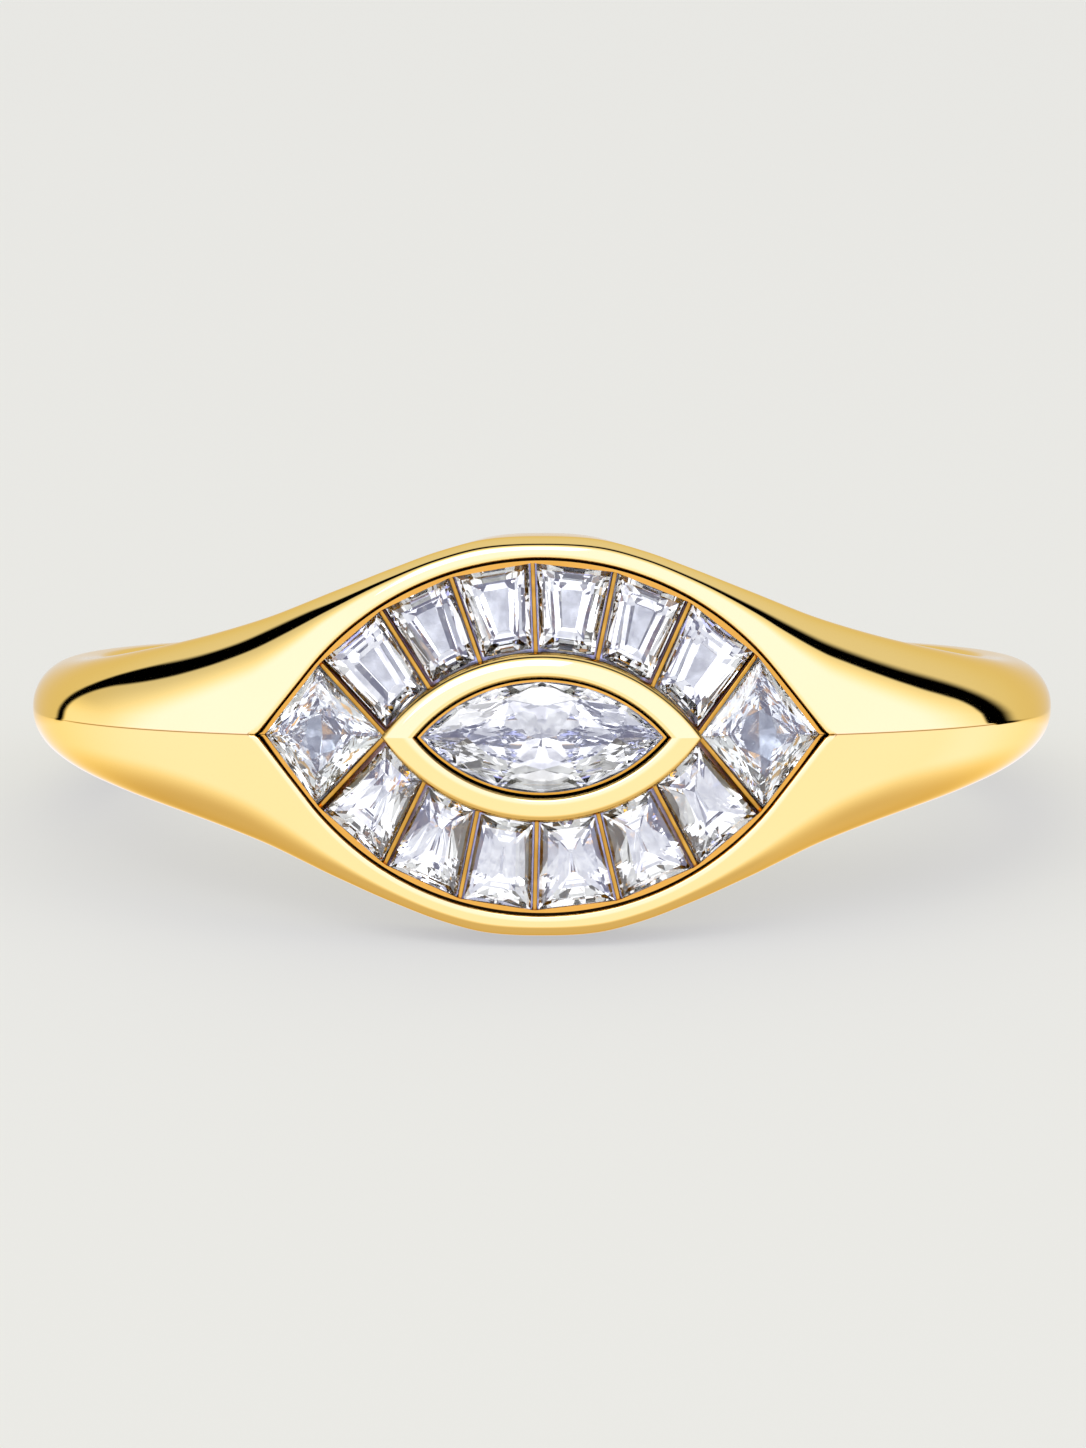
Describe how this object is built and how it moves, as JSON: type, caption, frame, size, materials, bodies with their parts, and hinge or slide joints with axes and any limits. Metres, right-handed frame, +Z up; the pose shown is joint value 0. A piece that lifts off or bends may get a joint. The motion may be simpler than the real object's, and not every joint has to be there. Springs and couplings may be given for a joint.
{
  "type": "cubic zirconia ring",
  "caption": "Gold signet-style finger ring with a marquise head: a bezel-set marquise stone in a fan of tapered baguettes, with a square stone in each point. It lies on its side.",
  "frame": {"origin": "middle of the bounding box at the height of the surface that the ring lies on", "axes": "+X along the length of the head, +Y from the head towards the back of the band, +Z up. The axis of the bore leans 9.2 degrees from +Z towards +Y, because the head is taller than the band."},
  "size_m": [0.0202, 0.0208, 0.0078],
  "materials": {
    "polished_gold": "mirror-polished yellow gold plating",
    "clear_stone": "clear, colourless, flat polished facets"
  },
  "bodies": {
    "root": {"ring_body": "polished_gold", "stone_centre": "clear_stone", "stone_end_left": "clear_stone", "stone_end_right": "clear_stone", "stone_top_1": "clear_stone", "stone_top_2": "clear_stone", "stone_top_3": "clear_stone", "stone_top_4": "clear_stone", "stone_top_5": "clear_stone", "stone_top_6": "clear_stone", "stone_bottom_1": "clear_stone", "stone_bottom_2": "clear_stone", "stone_bottom_3": "clear_stone", "stone_bottom_4": "clear_stone", "stone_bottom_5": "clear_stone", "stone_bottom_6": "clear_stone"}
  },
  "joints": []
}
